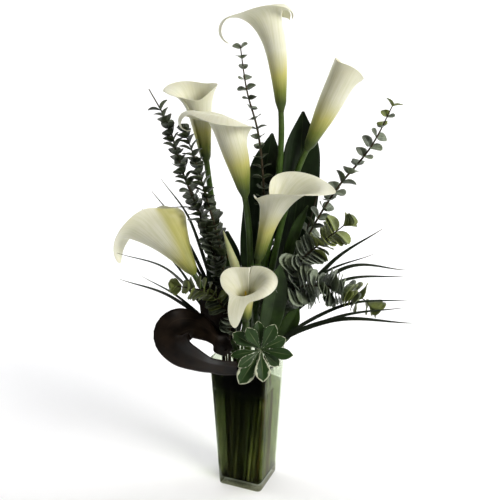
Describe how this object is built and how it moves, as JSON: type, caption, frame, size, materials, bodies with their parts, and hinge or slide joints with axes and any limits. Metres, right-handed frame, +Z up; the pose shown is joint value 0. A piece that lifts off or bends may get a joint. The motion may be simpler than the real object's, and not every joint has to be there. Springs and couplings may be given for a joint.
{
  "type": "calla lilies in a vase",
  "caption": "Tall bouquet of white calla lilies with eucalyptus, grass and broad leaves standing in a square tapered glass vase of water.",
  "frame": {"origin": "centre of the vase's foot, on the surface that it stands on", "axes": "+Z up along the bouquet's height, +X to the right and -Y towards the side that the bouquet faces"},
  "size_m": [0.4516, 0.2025, 0.7608],
  "materials": {
    "glass": "gloss",
    "water": "gloss",
    "stem": "satin",
    "spathe": "satin",
    "spadix": "matte",
    "eucalyptus": "matte",
    "young_leaf": "satin",
    "grass": "satin",
    "broad_leaf": "satin",
    "dark_leaf": "satin",
    "white_edged_leaf": "satin",
    "pale_bud": "satin"
  },
  "bodies": {
    "root": {"vase": "glass", "water": "water", "lily_top_stem": "stem", "lily_top_spathe": "spathe", "lily_top_spadix": "spadix", "lily_right_stem": "stem", "lily_right_spathe": "spathe", "lily_right_spadix": "spadix", "lily_left_back_stem": "stem", "lily_left_back_spathe": "spathe", "lily_left_back_spadix": "spadix", "lily_left_front_stem": "stem", "lily_left_front_spathe": "spathe", "lily_left_front_spadix": "spadix", "lily_centre_stem": "stem", "lily_centre_spathe": "spathe", "lily_centre_spadix": "spadix", "lily_low_left_stem": "stem", "lily_low_left_spathe": "spathe", "lily_low_left_spadix": "spadix", "lily_low_front_stem": "stem", "lily_low_front_spathe": "spathe", "lily_low_front_spadix": "spadix", "eucalyptus_left_outer": "eucalyptus", "eucalyptus_left_inner": "eucalyptus", "eucalyptus_thin": "eucalyptus", "eucalyptus_tall_right": "eucalyptus", "eucalyptus_woody_right": "eucalyptus", "eucalyptus_mid_right": "eucalyptus", "eucalyptus_low_right": "eucalyptus", "eucalyptus_low_left": "eucalyptus", "eucalyptus_mid_right_tip": "young_leaf", "eucalyptus_low_right_tip": "young_leaf", "eucalyptus_low_left_tip": "young_leaf", "grass_left_high": "grass", "grass_left_low": "grass", "grass_right_high": "grass", "grass_right_low": "grass", "broad_leaf_back_right": "broad_leaf", "broad_leaf_back_middle": "broad_leaf", "broad_leaf_strap": "broad_leaf", "broad_leaf_back_left": "broad_leaf", "broad_leaf_front_right": "broad_leaf", "broad_leaf_folded": "broad_leaf", "broad_leaf_shaded_left": "broad_leaf", "broad_leaf_shaded_right": "broad_leaf", "dark_leaf_standing": "dark_leaf", "dark_leaf_looped": "dark_leaf", "white_edged_rosette": "white_edged_leaf", "pale_bud": "pale_bud", "pale_bud_stem": "stem"}
  },
  "joints": []
}
